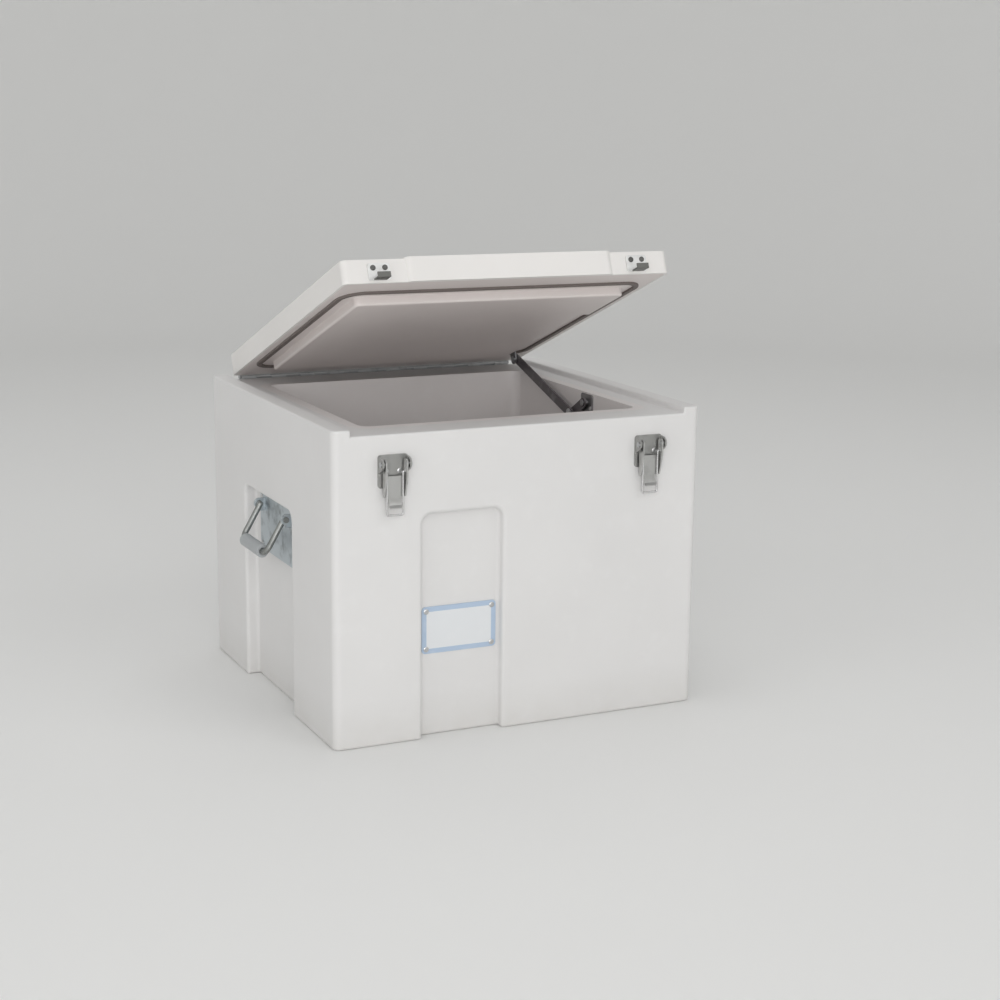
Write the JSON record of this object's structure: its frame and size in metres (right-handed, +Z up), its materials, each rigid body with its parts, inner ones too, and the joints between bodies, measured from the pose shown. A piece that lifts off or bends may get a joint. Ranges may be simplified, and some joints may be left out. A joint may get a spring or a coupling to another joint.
{
  "type": "specimen transport box",
  "caption": "Insulated box with foam-filled walls, a hinged plug lid on a folding stay, toggle latches and drop handles on the sides.",
  "frame": {"origin": "centre of the underside of the box, on the surface it stands on", "axes": "+X to the right seen from the front, +Y from the front to the back, +Z up"},
  "size_m": [0.576, 0.5288, 0.6151],
  "materials": {
    "shell_plastic": "satin rotomoulded",
    "liner_plastic": "satin moulded",
    "lid_plastic": "satin rotomoulded",
    "lid_liner_plastic": "satin moulded",
    "foam": "closed-cell foam",
    "seal_rubber": "matt",
    "label_blank": "satin",
    "rivet_steel": "satin",
    "hinge_steel": "brushed",
    "pin_steel": "satin",
    "latch_steel": "brushed",
    "latch_base_steel": "brushed",
    "keeper_steel": "satin",
    "dark_rivet_steel": "satin",
    "wire_steel": "satin",
    "zinc_plate": "zinc plated",
    "bail_steel": "satin",
    "grip_rubber": "satin",
    "bracket_steel": "satin",
    "stay_steel": "satin"
  },
  "bodies": {
    "box": {"outer_shell": "shell_plastic", "inner_liner": "liner_plastic", "foam_core": "foam", "label_plate": "label_blank", "label_rivets": "rivet_steel", "hinge_body_leaf": "hinge_steel", "hinge_pin": "pin_steel", "hinge_body_rivets": "rivet_steel", "latch_left_base": "latch_base_steel", "latch_right_base": "latch_base_steel", "latch_pins": "pin_steel", "latch_rivets": "rivet_steel", "handle_left_plate": "zinc_plate", "handle_right_plate": "zinc_plate", "handle_rivets": "rivet_steel", "stay_wall_bracket": "bracket_steel", "stay_wall_screws": "rivet_steel"},
    "lid": {"lid_shell": "lid_plastic", "lid_liner": "lid_liner_plastic", "lid_foam": "foam", "lid_seal": "seal_rubber", "keeper_left": "keeper_steel", "keeper_right": "keeper_steel", "keeper_rivets": "dark_rivet_steel", "hinge_lid_leaf": "hinge_steel", "hinge_lid_rivets": "rivet_steel", "stay_lid_bracket": "bracket_steel", "stay_lid_pin": "pin_steel", "stay_lid_screws": "rivet_steel"},
    "left_lever": {"latch_left_lever": "latch_steel"},
    "left_loop": {"latch_left_loop": "wire_steel"},
    "right_lever": {"latch_right_lever": "latch_steel"},
    "right_loop": {"latch_right_loop": "wire_steel"},
    "left_handle": {"handle_left_bail": "bail_steel", "handle_left_grip": "grip_rubber"},
    "right_handle": {"handle_right_bail": "bail_steel", "handle_right_grip": "grip_rubber"},
    "stay_upper": {"stay_upper_arm": "stay_steel"},
    "stay_lower": {"stay_lower_arm": "stay_steel", "stay_elbow_pin": "pin_steel"}
  },
  "joints": [
    {"name": "lid_hinge", "type": "hinge", "parent": "box", "child": "lid", "pos_m": [0, 0.2555, 0.404], "axis": [-1, 0, 0], "range_deg": [-21, 9]},
    {"name": "left_lever_pivot", "type": "hinge", "parent": "box", "child": "left_lever", "pos_m": [-0.181, -0.261, 0.3665], "axis": [-1, 0, 0], "range_deg": [0, 150]},
    {"name": "left_loop_pivot", "type": "hinge", "parent": "left_lever", "child": "left_loop", "pos_m": [-0.181, -0.2585, 0.3565], "axis": [1, 0, 0], "range_deg": [-180, 0]},
    {"name": "right_lever_pivot", "type": "hinge", "parent": "box", "child": "right_lever", "pos_m": [0.181, -0.261, 0.3665], "axis": [-1, 0, 0], "range_deg": [0, 150]},
    {"name": "right_loop_pivot", "type": "hinge", "parent": "right_lever", "child": "right_loop", "pos_m": [0.181, -0.2585, 0.3565], "axis": [1, 0, 0], "range_deg": [-180, 0]},
    {"name": "left_handle_pivot", "type": "hinge", "parent": "box", "child": "left_handle", "pos_m": [-0.253, 0.006, 0.258], "axis": [0, 1, 0], "range_deg": [-26, 65]},
    {"name": "right_handle_pivot", "type": "hinge", "parent": "box", "child": "right_handle", "pos_m": [0.253, 0.006, 0.258], "axis": [0, -1, 0], "range_deg": [-26, 65]},
    {"name": "stay_lid_pivot", "type": "hinge", "parent": "lid", "child": "stay_upper", "pos_m": [0.187, 0.16061, 0.42329], "axis": [-1, 0, 0], "range_deg": [-13, 30]},
    {"name": "stay_wall_pivot", "type": "hinge", "parent": "box", "child": "stay_lower", "pos_m": [0.191, -0.048, 0.388], "axis": [-1, 0, 0], "range_deg": [-8, 18]}
  ],
  "couplings": [
    {"joint": "stay_lid_pivot", "follows": "lid_hinge", "ratio": -1.38},
    {"joint": "stay_wall_pivot", "follows": "lid_hinge", "ratio": -0.8}
  ]
}
